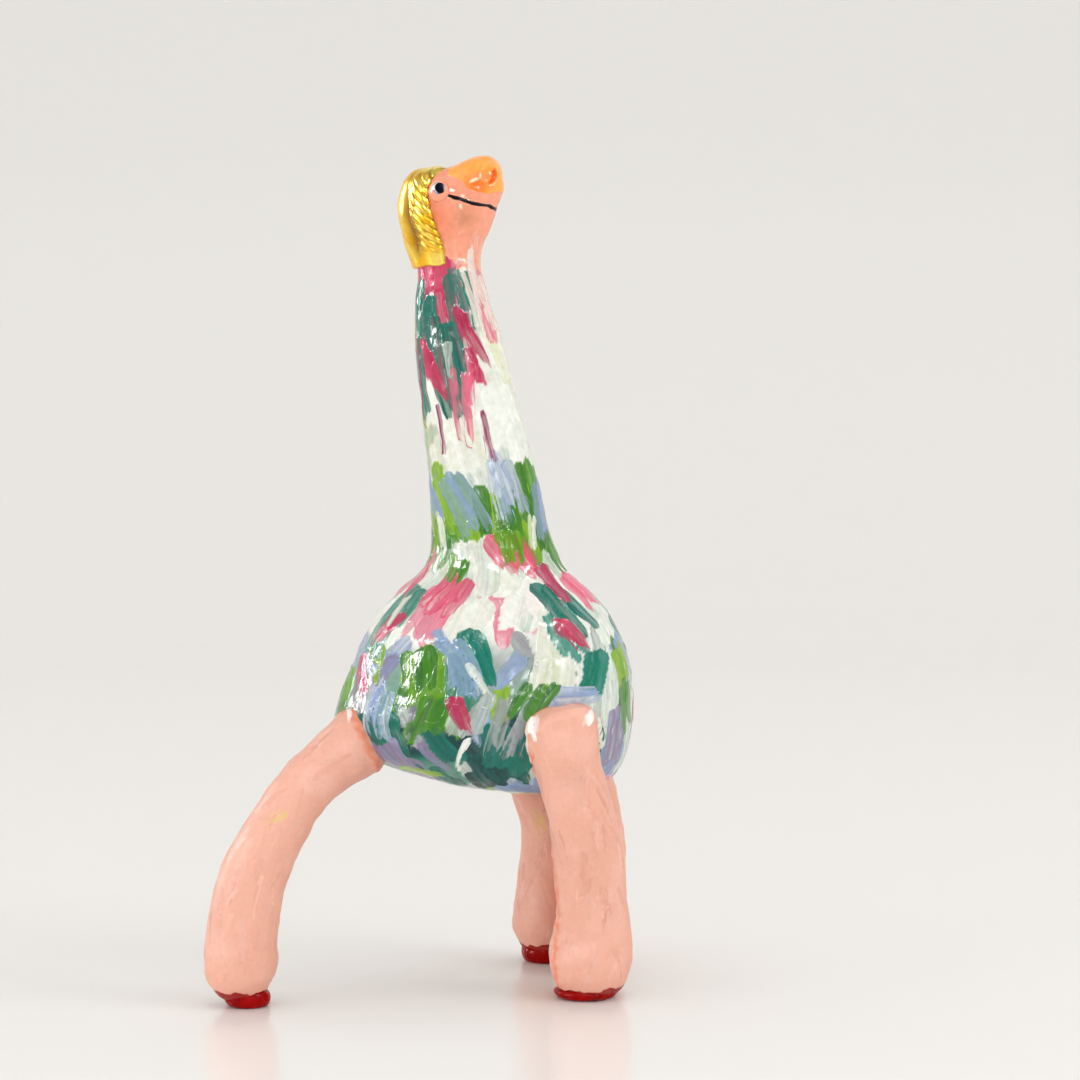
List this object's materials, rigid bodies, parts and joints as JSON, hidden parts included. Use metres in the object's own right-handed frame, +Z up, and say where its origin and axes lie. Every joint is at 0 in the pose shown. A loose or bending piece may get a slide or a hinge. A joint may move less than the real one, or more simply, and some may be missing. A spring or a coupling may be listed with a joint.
{
  "type": "polymer clay dinosaur figure",
  "caption": "Hand-built clay dinosaur with a round body, a long neck and splayed legs, daubed in bright varnished paint, that stands by its own weight as an ornament.",
  "frame": {"origin": "on the ground under the middle of the figure's box", "axes": "+Z up, +X the way the snout points, -Y out of its right flank"},
  "size_m": [0.1114, 0.0802, 0.2195],
  "materials": {
    "painted_clay": "daubed crimson, teal, white, green and lavender paint under gloss varnish, with a peach face and an orange snout",
    "gold_paint": "metallic gold paint on combed clay",
    "face_paint": "varnished pink paint with a dark pupil",
    "leg_clay": "hand-smoothed matte pink clay",
    "sole_paint": "glossy dark red paint"
  },
  "bodies": {
    "root": {"body": "painted_clay", "hair": "gold_paint", "eye_right": "face_paint", "eye_left": "face_paint", "leg_hind_right": "leg_clay", "leg_front_right": "leg_clay", "leg_hind_left": "leg_clay", "leg_front_left": "leg_clay", "sole_hind_right": "sole_paint", "sole_front_right": "sole_paint", "sole_hind_left": "sole_paint", "sole_front_left": "sole_paint"}
  },
  "joints": []
}
